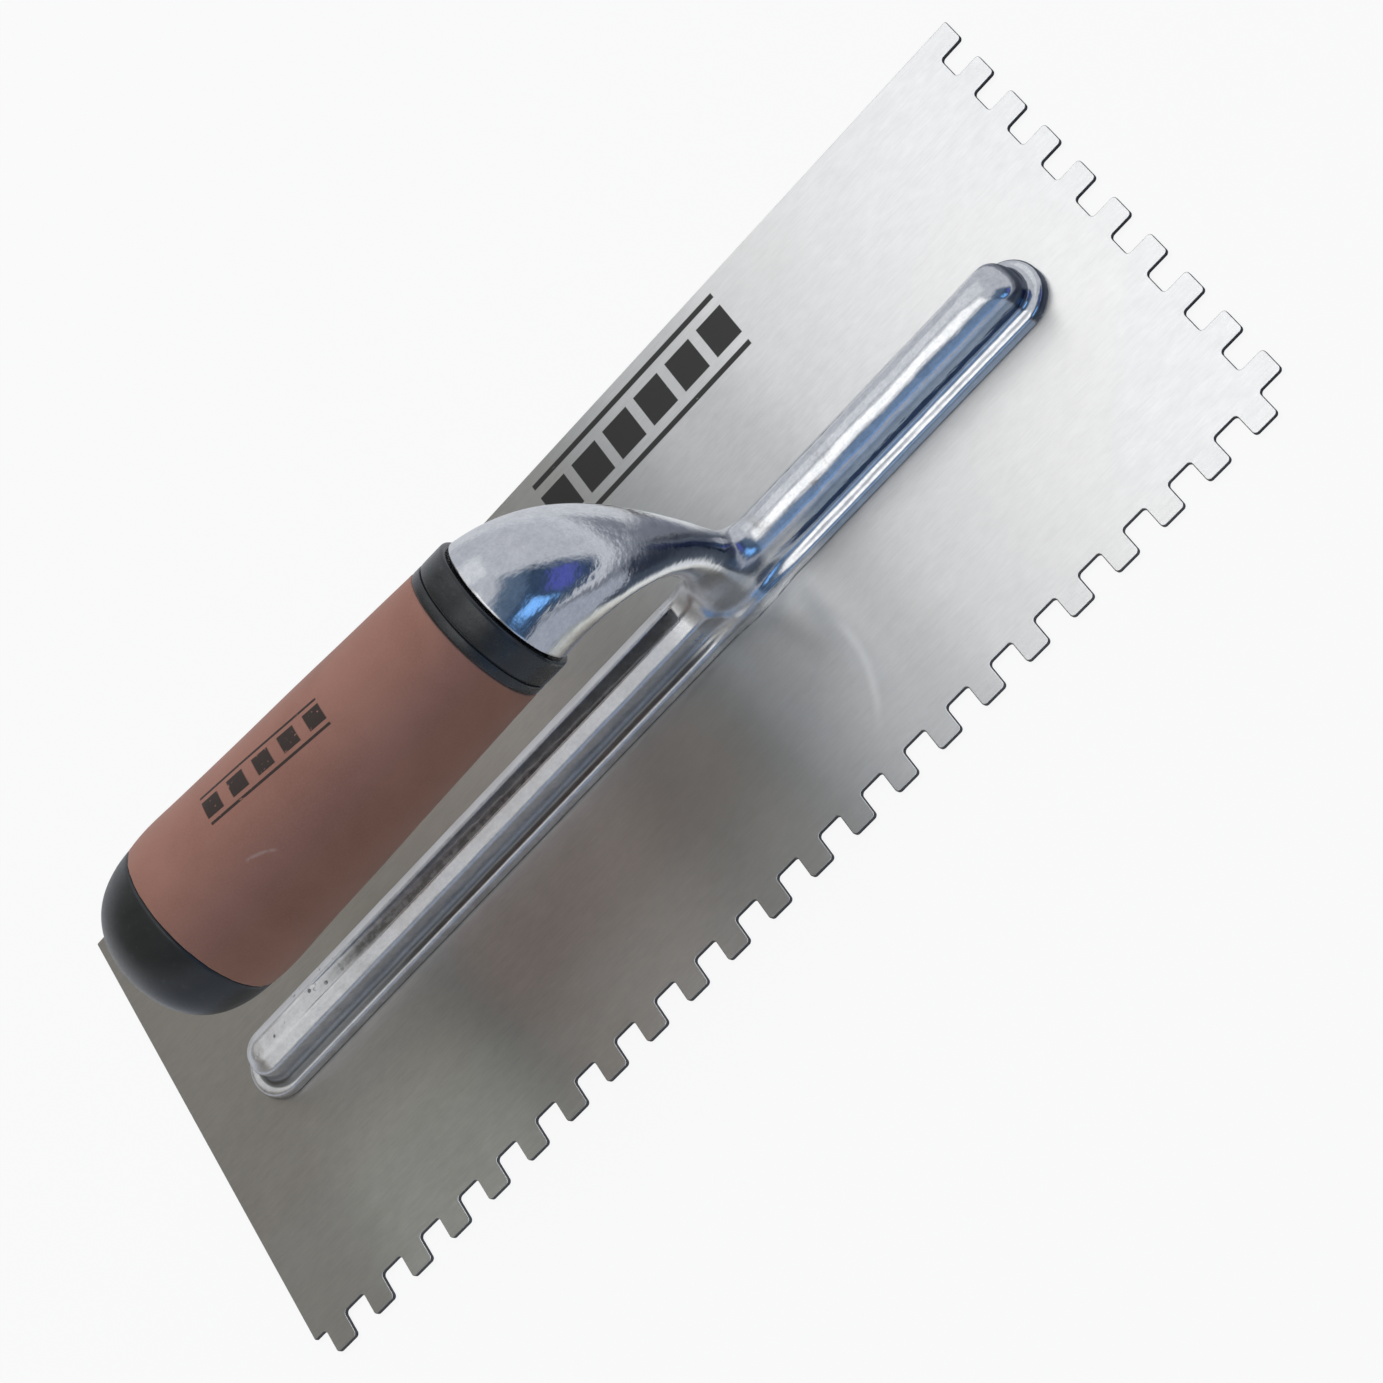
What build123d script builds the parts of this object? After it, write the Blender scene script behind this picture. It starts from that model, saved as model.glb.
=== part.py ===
from build123d import *
import os
from math import cos, pi, radians, sin

# Notched trowel, millimetres.
# Origin: centre of the underside of the blade. +X runs along the blade to the
# notched short end (toe), +Y to the plain long edge, +Z up to the handle.
# The teeth of the long edge are on -Y; the handle's butt points back to -X (heel).

# ---- shared sizes -------------------------------------------------------------
BLADE_T = 1.0

RIVET_X = (-108.0, -72.0, -36.0, 0.0, 34.0, 70.0, 106.0)
RIVET_R = 4.8 / 2
RIVET_HEAD_R = 7.6 / 2
RIVET_TOP = 6.0

SPIGOT_R, SPIGOT_L = 8.0, 9.0
STUD_R = 8.0 / 2
STUD_IN = 14.0              # length of stud inside the mounting

# Handle: "u" is the distance along its axis from the seat, positive to the butt.
HANDLE_TILT = radians(1.9)  # rising towards the butt
SEAT = Vector(8.4, 0, 54.4)  # centre of the handle seat on the gooseneck
SEAT_R = 15.45
HANDLE_DIR = Vector(-cos(HANDLE_TILT), 0, sin(HANDLE_TILT))
HANDLE_UP = Vector(sin(HANDLE_TILT), 0, cos(HANDLE_TILT))
HANDLE_AXIS = Axis(SEAT, HANDLE_DIR)
# Plane y = 0 with local x along the handle axis and local y outward
PROFILE_PLANE = Plane(origin=SEAT, x_dir=HANDLE_DIR, z_dir=(0, 1, 0))

COLLAR_0, COLLAR_1 = 0.35, 8.9
SEAM = 88.9                 # grip to end cap
SEAM_R = 19.3
CORE_R0, CORE_R1 = 12.6, 15.6  # core radius at the seat and at the seam
CORE_END = 92.5
WELL_R, WELL_0 = 10.0, 77.0    # well in the butt end of the core


def across_handle(u):
    """Plane across the handle axis at u, normal to the butt."""
    return Plane(origin=SEAT + HANDLE_DIR * u, x_dir=(0, 1, 0), z_dir=HANDLE_DIR)


def core_r(u):
    """Outer radius of the tapered core at u."""
    return CORE_R0 + (CORE_R1 - CORE_R0) / SEAM * u


def turned(points):
    """Solid turned about the handle axis from a closed outline of (u, radius)."""
    with BuildPart() as turning:
        with BuildSketch(PROFILE_PLANE):
            with BuildLine():
                Polyline(*points, close=True)
            make_face()
        revolve(axis=HANDLE_AXIS)
    return turning.part


# ---- blade --------------------------------------------------------------------
BLADE_L = 279.4
BLADE_W = 120.0
NOTCH = 6.0                 # width and depth of each square notch
PITCH = 2 * NOTCH
CORNER_R = 0.9              # rounding of teeth and notch corners
N_LONG_TEETH = 23
N_TOE_TEETH = round(BLADE_W / PITCH)
HEEL_GAP = BLADE_L - N_LONG_TEETH * PITCH  # cut-back before the first long-edge tooth
CUT_OVER = 1.0              # overrun of the rivet hole cutters

HEEL_X, TOE_X = -BLADE_L / 2, BLADE_L / 2
TOOTH_Y, PLAIN_Y = -BLADE_W / 2, BLADE_W / 2
ROOT_X, ROOT_Y = TOE_X - NOTCH, TOOTH_Y + NOTCH  # notch floors of the two edges


def blade_outline():
    """Corners in order: heel, long toothed edge, toothed toe, plain corner."""
    points = [(HEEL_X, PLAIN_Y), (HEEL_X, ROOT_Y)]
    for i in range(N_LONG_TEETH):
        x = HEEL_X + HEEL_GAP + i * PITCH
        points += [(x, ROOT_Y), (x, TOOTH_Y), (x + NOTCH, TOOTH_Y), (x + NOTCH, ROOT_Y)]
    points.pop()            # the first toe tooth starts at this same point
    for i in range(N_TOE_TEETH):
        y = ROOT_Y + i * PITCH
        points += [(ROOT_X, y), (TOE_X, y), (TOE_X, y + NOTCH), (ROOT_X, y + NOTCH)]
    points[-2:] = [(TOE_X, PLAIN_Y)]  # the last toe tooth ends in the plain edge
    return points


def make_blade():
    with BuildPart() as blade:
        with BuildSketch(Plane.XY):
            with BuildLine():
                Polyline(*blade_outline(), close=True)
            make_face()
            sharp = [(HEEL_X, PLAIN_Y), (HEEL_X, ROOT_Y), (TOE_X, PLAIN_Y)]
            corners = ShapeList(
                v for v in vertices()
                if not any(abs(v.X - x) + abs(v.Y - y) < 1e-3 for x, y in sharp)
            )
            fillet(corners, CORNER_R)
        extrude(amount=BLADE_T)
        # countersunk rivet holes, widest at the underside
        for x in RIVET_X:
            with BuildSketch(Plane.XZ):
                with BuildLine():
                    Polyline(
                        (x, -CUT_OVER),
                        (x + RIVET_HEAD_R, -CUT_OVER),
                        (x + RIVET_HEAD_R, 0),
                        (x + RIVET_R, BLADE_T),
                        (x + RIVET_R, BLADE_T + CUT_OVER),
                        (x, BLADE_T + CUT_OVER),
                        close=True,
                    )
                make_face()
            revolve(axis=Axis((x, 0, 0), (0, 0, 1)), mode=Mode.SUBTRACT)
    return blade.part


def make_blade_rivets():
    """Heads flush with the underside of the blade, shanks in blind holes above."""
    with BuildPart() as rivets:
        for x in RIVET_X:
            with BuildSketch(Plane.XZ):
                with BuildLine():
                    Polyline(
                        (x, 0),
                        (x + RIVET_HEAD_R, 0),
                        (x + RIVET_R, BLADE_T),
                        (x + RIVET_R, RIVET_TOP),
                        (x, RIVET_TOP),
                        close=True,
                    )
                make_face()
            revolve(axis=Axis((x, 0, 0), (0, 0, 1)))
    return rivets.part


# ---- mounting: foot bar, ridges and gooseneck in one casting --------------------
FOOT_X0, FOOT_X1 = -120.8, 119.3
FOOT_W = 16.0
FOOT_TOP = 4.0
FOOT_EDGE_R = 0.8

RIDGE_HW = 5.3              # half width of both ridges
RIDGE_BASE = FOOT_TOP - 0.5  # ridges sink into the foot bar

REAR_X0, REAR_X1 = -116.3, 36.0
REAR_TOP = 11.6
SHOULDER_W, SHOULDER_H = 3.3, 2.2
GROOVE_W = 4.0
GROOVE_X0, GROOVE_X1 = -103.0, 21.0
GROOVE_FLOOR = 7.0          # z at the front end, the deepest point
GROOVE_OVER = 1.0           # overrun of the groove cutter above the ridge

FRONT_X0, FRONT_X1 = 34.0, 116.8
FRONT_TOP = 13.5

SPIGOT_ROOT = 2.0           # spigot length buried in the gooseneck
BORE_OVER = 1.0             # overrun of the stud bore beyond the spigot

SEAT_FRONT = SEAT + HANDLE_UP * SEAT_R
SEAT_REAR = SEAT - HANDLE_UP * SEAT_R
# Gooseneck sections from the seat down to the foot:
# upper/front point x, z; lower/rear point x, z; half width;
# place of the widest point, as a fraction of the depth from the front point
NECK = [
    (SEAT_FRONT.X, SEAT_FRONT.Z, SEAT_REAR.X, SEAT_REAR.Z, SEAT_R, 0.50),
    (14.15, 68.35, 10.85, 38.69, 14.74, 0.50),
    (18.91, 65.54, 13.90, 38.47, 14.15, 0.50),
    (27.05, 56.67, 19.76, 37.42, 12.71, 0.50),
    (33.33, 44.68, 24.53, 34.43, 10.21, 0.49),
    (37.70, 31.03, 27.30, 28.14, 7.07, 0.46),
    (39.30, 23.60, 27.60, 23.00, 5.55, 0.42),
    (40.40, 18.00, 27.20, 18.00, 4.95, 0.42),
    (42.20, 15.00, 26.20, 15.00, 5.00, 0.45),
    (45.20, 12.60, 24.60, 12.60, 5.35, 0.50),
    (46.60, 8.40, 23.00, 8.40, 6.20, 0.50),
    (46.80, 3.00, 22.40, 3.00, 6.70, 0.50),
]
NECK_POINTS = 16            # spline points round each section


def make_rear_ridge():
    """Sloped shoulders and a centre groove that runs out towards the heel."""
    with BuildPart() as ridge:
        with BuildSketch(Plane.XY.offset(RIDGE_BASE)):
            with Locations(((REAR_X0 + REAR_X1) / 2, 0)):
                SlotOverall(REAR_X1 - REAR_X0, 2 * RIDGE_HW)
        extrude(amount=REAR_TOP - RIDGE_BASE)
        chamfer(faces().sort_by(Axis.Z)[-1].edges(), SHOULDER_H, SHOULDER_W)
        with BuildSketch(Plane.XZ):
            with BuildLine():
                Polyline(
                    (GROOVE_X1, REAR_TOP + GROOVE_OVER),
                    (GROOVE_X1, GROOVE_FLOOR),
                    (GROOVE_X0, REAR_TOP),
                    (GROOVE_X0, REAR_TOP + GROOVE_OVER),
                    close=True,
                )
            make_face()
        extrude(amount=GROOVE_W / 2, both=True, mode=Mode.SUBTRACT)
    return ridge.part


def make_front_ridge():
    """Vertical sides, full-round top, ball end at the toe."""
    spring_z = FRONT_TOP - RIDGE_HW  # where the round top begins
    ball_x = FRONT_X1 - RIDGE_HW
    with BuildPart() as ridge:
        with BuildSketch(Plane.YZ.offset(FRONT_X0)):
            with BuildLine():
                Polyline(
                    (-RIDGE_HW, spring_z),
                    (-RIDGE_HW, RIDGE_BASE),
                    (RIDGE_HW, RIDGE_BASE),
                    (RIDGE_HW, spring_z),
                )
                ThreePointArc((RIDGE_HW, spring_z), (0, FRONT_TOP), (-RIDGE_HW, spring_z))
            make_face()
        extrude(amount=ball_x - FRONT_X0)
        with BuildSketch(Plane.XZ):
            with BuildLine():
                Polyline(
                    (ball_x, FRONT_TOP),
                    (ball_x, RIDGE_BASE),
                    (FRONT_X1, RIDGE_BASE),
                    (FRONT_X1, spring_z),
                )
                RadiusArc((FRONT_X1, spring_z), (ball_x, FRONT_TOP), -RIDGE_HW)
            make_face()
        revolve(axis=Axis((ball_x, 0, 0), (0, 0, 1)))
    return ridge.part


def make_gooseneck():
    """Loft of egg-shaped sections, each drawn from its rear point to its front point."""
    with BuildPart() as neck:
        for front_x, front_z, rear_x, rear_z, half_width, crest in NECK:
            span = Vector(front_x - rear_x, 0, front_z - rear_z)
            front_depth = span.length * crest
            rear_depth = span.length * (1 - crest)
            points = []
            for i in range(NECK_POINTS):
                angle = 2 * pi * i / NECK_POINTS
                depth = front_depth if cos(angle) > 0 else rear_depth
                points.append((rear_depth + depth * cos(angle), half_width * sin(angle)))
            forward = span.normalized()
            section_plane = Plane(
                origin=(rear_x, 0, rear_z),
                x_dir=forward,
                z_dir=forward.cross(Vector(0, 1, 0)),
            )
            with BuildSketch(section_plane):
                with BuildLine():
                    Spline(*points, periodic=True)
                make_face()
        loft()
    return neck.part


def make_mounting():
    # built first, so that their builders do not nest in the mounting's
    rear_ridge = make_rear_ridge()
    front_ridge = make_front_ridge()
    gooseneck = make_gooseneck()
    with BuildPart() as mounting:
        with BuildSketch(Plane.XY.offset(BLADE_T)):
            with Locations(((FOOT_X0 + FOOT_X1) / 2, 0)):
                SlotOverall(FOOT_X1 - FOOT_X0, FOOT_W)
        extrude(amount=FOOT_TOP - BLADE_T)
        fillet(faces().sort_by(Axis.Z)[-1].edges(), FOOT_EDGE_R)
        add(rear_ridge)
        add(front_ridge)
        add(gooseneck)
        # spigot that enters the handle, bored for the stud
        with BuildSketch(across_handle(-SPIGOT_ROOT)):
            Circle(SPIGOT_R)
        extrude(amount=SPIGOT_L + SPIGOT_ROOT)
        with BuildSketch(across_handle(SPIGOT_L + BORE_OVER)):
            Circle(STUD_R)
        extrude(amount=-(STUD_IN + BORE_OVER), mode=Mode.SUBTRACT)
        # blind rivet holes
        for x in RIVET_X:
            with BuildSketch(Plane.XY):
                with Locations((x, 0)):
                    Circle(RIVET_R)
            extrude(amount=RIVET_TOP, mode=Mode.SUBTRACT)
    return mounting.part


# ---- tang stud, washers and nut, stacked on the floor of the well ----------------
STUD_0, STUD_1 = SPIGOT_L - STUD_IN, 92.0
STUD_CHAMFER = 0.7
WASHER_R, WASHER_T = 8.0, 1.6
SPRING_R, SPRING_T = 7.1, 2.0
WASHER_GAP = 0.2            # radial clearance round the stud
SPLIT_W, SPLIT_L = 1.2, 6.0  # slanted split in the spring washer
SPLIT_Y, SPLIT_ANGLE = 6.0, 20
NUT_FLAT_R = 6.5            # centre to flat
NUT_T = 6.5


def make_tang_stud():
    with BuildPart() as stud:
        with BuildSketch(across_handle(STUD_0)):
            Circle(STUD_R)
        extrude(amount=STUD_1 - STUD_0)
        chamfer(edges().filter_by(GeomType.CIRCLE), STUD_CHAMFER)
    return stud.part


def make_washer(u, radius, thickness, split=False):
    with BuildPart() as washer:
        with BuildSketch(across_handle(u)):
            Circle(radius)
            Circle(STUD_R + WASHER_GAP, mode=Mode.SUBTRACT)
            if split:
                with Locations((0, SPLIT_Y)):
                    Rectangle(SPLIT_W, SPLIT_L, rotation=SPLIT_ANGLE, mode=Mode.SUBTRACT)
        extrude(amount=thickness)
    return washer.part


def make_tang_nut():
    with BuildPart() as nut:
        with BuildSketch(across_handle(WELL_0 + WASHER_T + SPRING_T)):
            RegularPolygon(NUT_FLAT_R, 6, major_radius=False)
            Circle(STUD_R, mode=Mode.SUBTRACT)
        extrude(amount=NUT_T)
    return nut.part


# ---- handle core: tapered tube, socket at the seat and well at the butt -----------
CORE_BORE_R = STUD_R + 0.3
SOCKET_END = SPIGOT_L + 0.4


def make_handle_core():
    return turned([
        (0, SPIGOT_R),
        (0, core_r(0)),
        (CORE_END, core_r(CORE_END)),
        (CORE_END, WELL_R),
        (WELL_0, WELL_R),
        (WELL_0, CORE_BORE_R),
        (SOCKET_END, CORE_BORE_R),
        (SOCKET_END, SPIGOT_R),
    ])


# ---- front collar: wide band, fine groove, narrow rear lip ------------------------
COLLAR_R = 16.45
COLLAR_BEVEL = 0.6
COLLAR_GROOVE_0, COLLAR_GROOVE_1 = 6.3, 6.7
COLLAR_GROOVE_DEPTH = 0.5
LIP_BEVEL_L = 0.2
LIP_RISE, LIP_DROP = 0.05, 0.2  # lip radii above and below COLLAR_R


def make_front_collar():
    groove_r = COLLAR_R - COLLAR_GROOVE_DEPTH
    return turned([
        (COLLAR_0, core_r(COLLAR_0)),
        (COLLAR_0, COLLAR_R - COLLAR_BEVEL),
        (COLLAR_0 + COLLAR_BEVEL, COLLAR_R),
        (COLLAR_GROOVE_0, COLLAR_R),
        (COLLAR_GROOVE_0, groove_r),
        (COLLAR_GROOVE_1, groove_r),
        (COLLAR_GROOVE_1, COLLAR_R),
        (COLLAR_1 - LIP_BEVEL_L, COLLAR_R + LIP_RISE),
        (COLLAR_1, COLLAR_R - LIP_DROP),
        (COLLAR_1, core_r(COLLAR_1)),
    ])


# ---- grip sleeve: soft cover, swelling to the butt --------------------------------
# (u, radius) from collar to seam
GRIP = (
    (9.3, 16.5), (30.0, 17.4), (60.0, 18.65),
    (78.0, 19.4), (85.0, 19.6), (SEAM, SEAM_R),
)
GRIP_LIP_R = 16.15          # radius where the grip meets the collar


def make_grip_sleeve():
    with BuildPart() as sleeve:
        with BuildSketch(PROFILE_PLANE):
            with BuildLine():
                Spline(*GRIP)
                Polyline(
                    GRIP[-1],
                    (SEAM, core_r(SEAM)),
                    (COLLAR_1, core_r(COLLAR_1)),
                    (COLLAR_1, GRIP_LIP_R),
                    GRIP[0],
                )
            make_face()
        revolve(axis=HANDLE_AXIS)
    return sleeve.part


# ---- end cap: dome over the butt, skirt pressed into the well of the core ---------
# (u, radius) from seam to butt
DOME = (
    (SEAM, SEAM_R), (92.5, 18.95), (96.5, 18.0), (100.5, 16.1),
    (104.0, 12.7), (106.5, 7.2), (107.4, 0.0),
)
DOME_TANGENTS = ((1, -0.06), (0, -1))
SKIRT_0, SKIRT_IN_R = 85.0, 8.6
CAP_HOLLOW_END = 98.0


def make_end_cap():
    with BuildPart() as cap:
        with BuildSketch(PROFILE_PLANE):
            with BuildLine():
                Spline(*DOME, tangents=DOME_TANGENTS)
                Polyline(
                    DOME[-1],
                    (CAP_HOLLOW_END, 0),
                    (CAP_HOLLOW_END, SKIRT_IN_R),
                    (SKIRT_0, SKIRT_IN_R),
                    (SKIRT_0, WELL_R),
                    (CORE_END, WELL_R),
                    (CORE_END, core_r(CORE_END)),
                    (SEAM, core_r(SEAM)),
                    DOME[0],
                )
            make_face()
        revolve(axis=HANDLE_AXIS)
    return cap.part


# ---- export -------------------------------------------------------------------
def save(name, part):
    part.label = name
    export_step(part, f"parts/{name}.step")


os.makedirs("parts", exist_ok=True)
save("blade", make_blade())
save("blade_rivets", make_blade_rivets())
save("mounting", make_mounting())
save("tang_stud", make_tang_stud())
save("tang_washer", make_washer(WELL_0, WASHER_R, WASHER_T))
save("spring_washer", make_washer(WELL_0 + WASHER_T, SPRING_R, SPRING_T, split=True))
save("tang_nut", make_tang_nut())
save("handle_core", make_handle_core())
save("front_collar", make_front_collar())
save("grip_sleeve", make_grip_sleeve())
save("end_cap", make_end_cap())
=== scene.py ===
import math

import bpy
import numpy as np
from mathutils import Matrix, Vector


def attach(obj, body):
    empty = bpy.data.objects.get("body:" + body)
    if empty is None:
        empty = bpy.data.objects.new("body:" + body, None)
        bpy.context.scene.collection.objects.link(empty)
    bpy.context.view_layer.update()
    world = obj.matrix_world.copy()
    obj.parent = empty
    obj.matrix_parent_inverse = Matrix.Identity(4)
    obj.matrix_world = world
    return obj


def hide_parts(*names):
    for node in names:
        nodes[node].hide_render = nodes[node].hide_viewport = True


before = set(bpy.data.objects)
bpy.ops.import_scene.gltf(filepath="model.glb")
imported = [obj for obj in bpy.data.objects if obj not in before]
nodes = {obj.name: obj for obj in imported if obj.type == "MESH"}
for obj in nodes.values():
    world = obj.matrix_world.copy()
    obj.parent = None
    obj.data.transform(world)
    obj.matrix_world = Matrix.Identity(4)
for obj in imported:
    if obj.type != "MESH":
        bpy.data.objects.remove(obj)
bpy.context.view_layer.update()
MM = 0.001

# ------------------------------------------------------------------ numbers, millimetres
BLADE_L, BLADE_W, BLADE_T = 279.4, 120.0, 1.0
NOTCH, PITCH, CORNER_R, HEEL_GAP = 6.0, 12.0, 0.9, 3.4
RIVET_X = (-108.0, -72.0, -36.0, 0.0, 34.0, 70.0, 106.0)
TILT = math.radians(1.9)
SEAT = np.array([8.4, 0.0, 54.4])
AXIS = np.array([-math.cos(TILT), 0.0, math.sin(TILT)])      # towards the butt
UP = np.array([math.sin(TILT), 0.0, math.cos(TILT)])
SIDE = np.array([0.0, 1.0, 0.0])


# ------------------------------------------------------------------ mesh helpers
def new_mesh(name, verts, faces, smooth=True):
    me = bpy.data.meshes.new(name)
    me.from_pydata([tuple(v) for v in (np.asarray(verts) * MM)], [], [tuple(int(i) for i in f) for f in faces])
    me.update()
    if smooth:
        me.polygons.foreach_set("use_smooth", [True] * len(me.polygons))
    ob = bpy.data.objects.new(name, me)
    bpy.context.scene.collection.objects.link(ob)
    return ob


def new_mesh_quads(name, verts, quads):
    """Fast build of an all-quad mesh from arrays."""
    me = bpy.data.meshes.new(name)
    v = (np.asarray(verts) * MM).astype(np.float32)
    q = np.asarray(quads).astype(np.int32)
    me.vertices.add(len(v))
    me.vertices.foreach_set("co", v.ravel())
    me.loops.add(q.size)
    me.loops.foreach_set("vertex_index", q.ravel())
    me.polygons.add(len(q))
    me.polygons.foreach_set("loop_start", np.arange(0, q.size, 4, dtype=np.int32))
    me.polygons.foreach_set("loop_total", np.full(len(q), 4, np.int32))
    me.polygons.foreach_set("use_smooth", np.ones(len(q), bool))
    me.update(calc_edges=True)
    me.validate()
    ob = bpy.data.objects.new(name, me)
    bpy.context.scene.collection.objects.link(ob)
    return ob


def spline(xk, yk, x):
    """Natural cubic spline through (xk, yk), evaluated at x."""
    xk, yk, x = (np.asarray(a, float) for a in (xk, yk, x))
    n = len(xk)
    h = np.diff(xk)
    a = np.zeros((n, n))
    r = np.zeros(n)
    a[0, 0] = a[-1, -1] = 1
    for i in range(1, n - 1):
        a[i, i - 1], a[i, i], a[i, i + 1] = h[i - 1], 2 * (h[i - 1] + h[i]), h[i]
        r[i] = 6 * ((yk[i + 1] - yk[i]) / h[i] - (yk[i] - yk[i - 1]) / h[i - 1])
    m = np.linalg.solve(a, r)
    i = np.clip(np.searchsorted(xk, x) - 1, 0, n - 2)
    t0, t1 = x - xk[i], xk[i + 1] - x
    return (m[i] * t1 ** 3 + m[i + 1] * t0 ** 3) / (6 * h[i]) + (yk[i] / h[i] - m[i] * h[i] / 6) * t1 + (
        yk[i + 1] / h[i] - m[i + 1] * h[i] / 6) * t0


# ------------------------------------------------------------------ signed distance of the casting
def smin(a, b, k):
    h = np.maximum(k - np.abs(a - b), 0) / k
    return np.minimum(a, b) - h * h * k * 0.25


def smax(a, b, k):
    return -smin(-a, -b, k)


# gooseneck side profile: top/front point, underside/rear point, half width, crest place, rear sharpness
NECK = np.array([
    [8.912, 69.84, 7.888, 38.96, 15.45, 0.50, 2.00],
    [14.15, 68.35, 10.85, 38.69, 14.74, 0.50, 2.00],
    [18.91, 65.54, 13.90, 38.47, 14.15, 0.50, 2.00],
    [23.21, 61.58, 16.91, 38.10, 13.52, 0.50, 2.00],
    [27.05, 56.67, 19.76, 37.42, 12.71, 0.50, 1.98],
    [30.43, 50.97, 22.34, 36.25, 11.58, 0.50, 1.96],
    [33.33, 44.68, 24.53, 34.43, 10.21, 0.49, 1.94],
    [35.76, 37.97, 26.22, 31.78, 8.68, 0.48, 1.90],
    [37.70, 31.03, 27.30, 28.14, 7.07, 0.46, 1.86],
    [39.16, 24.03, 27.95, 23.33, 5.60, 0.43, 1.80],
    [39.90, 18.30, 28.10, 18.30, 4.90, 0.42, 1.78],
    [40.30, 14.00, 28.00, 14.00, 4.80, 0.42, 1.78],
    [40.60, 9.00, 27.80, 9.00, 5.00, 0.42, 1.80],
    [40.80, 2.60, 27.60, 2.60, 5.20, 0.42, 1.80],
])
_sk = np.linspace(0, 1, len(NECK))
_S = np.linspace(0, 1, 260)
NS = np.stack([spline(_sk, NECK[:, j], _S) for j in range(7)], 1)
GX0, GX1, GZ0, GZ1, GD = -2.0, 60.0, -2.0, 80.0, 0.25


def _build_smap():
    xs = np.arange(GX0, GX1 + GD, GD)
    zs = np.arange(GZ0, GZ1 + GD, GD)
    X, Z = np.meshgrid(xs, zs, indexing="ij")
    d = NS[:, 0:2] - NS[:, 2:4]
    # side of each section line: positive before the section (towards the handle)
    c = d[:, 0][:, None, None] * (Z[None] - NS[:, 3][:, None, None]) - d[:, 1][:, None, None] * (X[None] - NS[:, 2][:, None, None])
    pos = c > 0
    first = np.argmax(pos, axis=0)
    none = (~pos).all(axis=0)
    i1 = np.clip(first, 1, len(_S) - 1)
    i0 = i1 - 1
    a = np.take_along_axis(c, i0[None], 0)[0]
    b = np.take_along_axis(c, i1[None], 0)[0]
    t = np.clip(a / np.where(np.abs(a - b) < 1e-9, 1e-9, a - b), 0, 1)
    s = _S[i0] + t * (_S[i1] - _S[i0])
    s[first == 0] = 0.0
    s[none] = 1.0
    return s


SMAP = _build_smap()


def s_at(x, z):
    fx = np.clip((x - GX0) / GD, 0, SMAP.shape[0] - 1.001)
    fz = np.clip((z - GZ0) / GD, 0, SMAP.shape[1] - 1.001)
    ix, iz = fx.astype(int), fz.astype(int)
    tx, tz = fx - ix, fz - iz
    return (SMAP[ix, iz] * (1 - tx) * (1 - tz) + SMAP[ix + 1, iz] * tx * (1 - tz)
            + SMAP[ix, iz + 1] * (1 - tx) * tz + SMAP[ix + 1, iz + 1] * tx * tz)


def sd_neck(x, y, z):
    s = s_at(x, z)
    col = [np.interp(s, _S, NS[:, j]) for j in range(7)]
    fx, fz, gx, gz, b, c, p = col
    dx, dz = fx - gx, fz - gz
    h = np.sqrt(dx * dx + dz * dz)
    t = ((x - gx) * dx + (z - gz) * dz) / h - h * (1 - c)
    front = t > 0
    a = np.where(front, h * c, h * (1 - c))
    q = np.where(front, 2.0, p)
    at = np.abs(t) / a + 1e-6
    ay = np.abs(y) / b + 1e-6
    rho = (at ** q + ay ** q) ** (1 / q)
    g = rho ** (1 - q) * np.sqrt((at ** (q - 1) / a) ** 2 + (ay ** (q - 1) / b) ** 2)
    f = (rho - 1) / np.maximum(g, 0.5 / np.maximum(a, b))
    return np.clip(f, -20, 40)


def sd_seg(x, y, x0, x1):
    """Distance in plan from the segment y=0, x0..x1."""
    return np.sqrt(np.maximum(np.maximum(x0 - x, x - x1), 0) ** 2 + y * y)


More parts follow.
